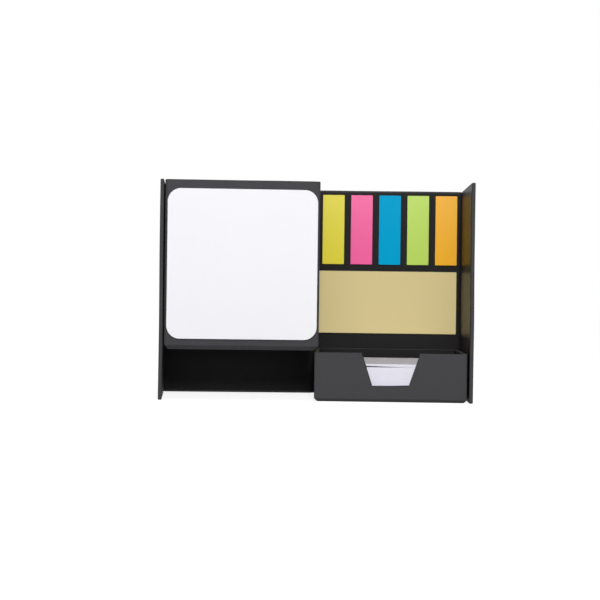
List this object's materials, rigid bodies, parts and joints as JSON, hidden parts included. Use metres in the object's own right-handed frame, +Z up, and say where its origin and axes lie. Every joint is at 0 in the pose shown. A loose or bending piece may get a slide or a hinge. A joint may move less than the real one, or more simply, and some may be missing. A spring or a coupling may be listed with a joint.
{
  "type": "pen holder with notepad",
  "caption": "Folding desk cube opened out: pen cup with note pad, hinged side panel with index flags, sticky pad and notched memo tray, hinged front cover and side flap.",
  "frame": {"origin": "on the surface that the object stands on, under the centre of its box with the panels as in the rest pose", "axes": "+Z up; +X runs along the back panel towards the side panel, the longest extent; the open side faces -Y and the back panel's outer face looks along +Y, the shortest extent"},
  "size_m": [0.1962, 0.1062, 0.132],
  "materials": {
    "cover_paper": "matte",
    "black_paper": "matte",
    "white_paper": "matte",
    "cream_paper": "matte",
    "yellow_paper": "matte",
    "pink_paper": "matte",
    "blue_paper": "matte",
    "green_paper": "matte",
    "orange_paper": "matte",
    "magnet_steel": "satin"
  },
  "bodies": {
    "back": {"back_board": "cover_paper", "back_liner": "black_paper", "flap_fold": "cover_paper", "middle_fold": "cover_paper", "cup_floor": "cover_paper", "cup_front_wall": "cover_paper", "cup_back_wall": "cover_paper", "cup_left_wall": "cover_paper", "cup_right_wall": "cover_paper", "cup_lining": "black_paper", "cup_front_magnet": "magnet_steel", "cup_left_magnet": "magnet_steel", "note_pad_backing": "white_paper", "note_pad": "white_paper"},
    "flap": {"left_flap_board": "cover_paper", "left_flap_liner": "black_paper", "left_flap_magnet": "magnet_steel"},
    "side": {"side_board": "cover_paper", "side_liner": "black_paper", "cover_fold": "cover_paper", "tray_floor": "cover_paper", "tray_front_wall": "cover_paper", "tray_back_wall": "cover_paper", "tray_left_wall": "cover_paper", "tray_right_wall": "cover_paper", "memo_stack": "white_paper", "memo_top_sheets": "white_paper", "flag_yellow": "yellow_paper", "flag_pink": "pink_paper", "flag_blue": "blue_paper", "flag_green": "green_paper", "flag_orange": "orange_paper", "sticky_pad": "cream_paper"},
    "cover": {"front_cover_board": "cover_paper", "front_cover_liner": "black_paper", "front_cover_magnet": "magnet_steel"}
  },
  "joints": [
    {"name": "side_fold", "type": "hinge", "parent": "back", "child": "side", "pos_m": [0.00188, 0.05191, 0], "axis": [0, 0, -1], "range_deg": [-5, 85]},
    {"name": "cover_fold_open", "type": "hinge", "parent": "side", "child": "cover", "pos_m": [0.09692, 0.04359, 0], "axis": [0, 0, 1], "range_deg": [0, 90]},
    {"name": "flap_fold_open", "type": "hinge", "parent": "back", "child": "flap", "pos_m": [-0.09692, 0.05191, 0], "axis": [0, 0, -1], "range_deg": [0, 90]}
  ]
}
